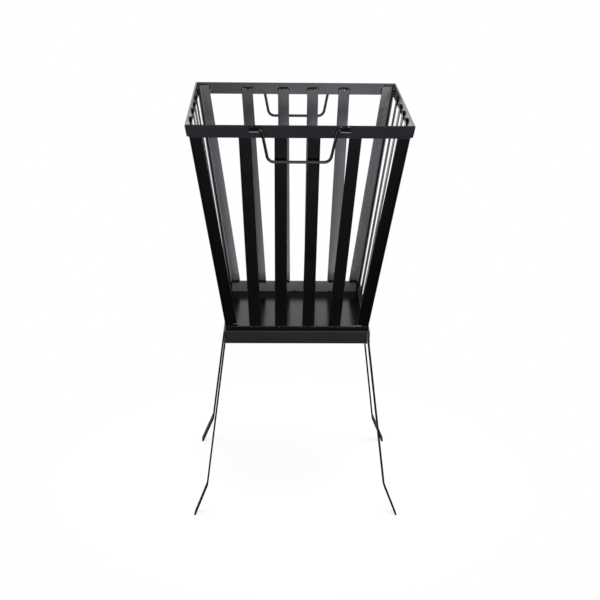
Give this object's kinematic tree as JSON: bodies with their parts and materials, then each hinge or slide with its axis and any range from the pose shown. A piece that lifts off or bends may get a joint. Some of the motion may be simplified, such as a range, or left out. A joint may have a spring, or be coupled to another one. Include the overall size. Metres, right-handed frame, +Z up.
{
  "type": "camping fire pit",
  "caption": "Square tapered fire basket of flat steel bar with wire carrying handles, nested in a stand with splayed, bent legs.",
  "frame": {"origin": "on the floor, below the middle of the basket", "axes": "+Z up, the front wall with a handle faces -Y, +X to the right seen from the front"},
  "size_m": [0.37, 0.3858, 0.709],
  "materials": {
    "basket_enamel": "semi-gloss black heat-resistant coating",
    "plate_enamel": "smooth black coating on sheet",
    "stand_enamel": "semi-gloss black coating",
    "wire_enamel": "semi-gloss black coating on round wire"
  },
  "bodies": {
    "stand": {"stand_front": "stand_enamel", "stand_right": "stand_enamel", "stand_back": "stand_enamel", "stand_left": "stand_enamel", "leg_front_left": "stand_enamel", "leg_front_right": "stand_enamel", "leg_back_right": "stand_enamel", "leg_back_left": "stand_enamel"},
    "basket": {"rim_front": "basket_enamel", "rim_right": "basket_enamel", "rim_back": "basket_enamel", "rim_left": "basket_enamel", "post_front_left": "basket_enamel", "post_front_right": "basket_enamel", "post_back_right": "basket_enamel", "post_back_left": "basket_enamel", "slat_front_1": "basket_enamel", "slat_front_2": "basket_enamel", "slat_front_3": "basket_enamel", "slat_front_4": "basket_enamel", "slat_right_1": "basket_enamel", "slat_right_2": "basket_enamel", "slat_right_3": "basket_enamel", "slat_right_4": "basket_enamel", "slat_back_1": "basket_enamel", "slat_back_2": "basket_enamel", "slat_back_3": "basket_enamel", "slat_back_4": "basket_enamel", "slat_left_1": "basket_enamel", "slat_left_2": "basket_enamel", "slat_left_3": "basket_enamel", "slat_left_4": "basket_enamel", "base_front": "basket_enamel", "base_right": "basket_enamel", "base_back": "basket_enamel", "base_left": "basket_enamel", "floor_plate": "plate_enamel", "lug_front_left": "basket_enamel", "lug_front_right": "basket_enamel", "lug_back_left": "basket_enamel", "lug_back_right": "basket_enamel"},
    "handle_front": {"handle_front": "wire_enamel"},
    "handle_back": {"handle_back": "wire_enamel"}
  },
  "joints": [
    {"name": "basket_lift", "type": "slide", "parent": "stand", "child": "basket", "axis": [0, 0, 1], "range_m": [0, 0.1]},
    {"name": "handle_front_swing", "type": "hinge", "parent": "basket", "child": "handle_front", "pos_m": [-0.001, -0.18863, 0.70238], "axis": [-1, 0, 0], "range_deg": [-2.5, 184]},
    {"name": "handle_back_swing", "type": "hinge", "parent": "basket", "child": "handle_back", "pos_m": [0.001, 0.18863, 0.70238], "axis": [1, 0, 0], "range_deg": [-2.5, 184]}
  ]
}
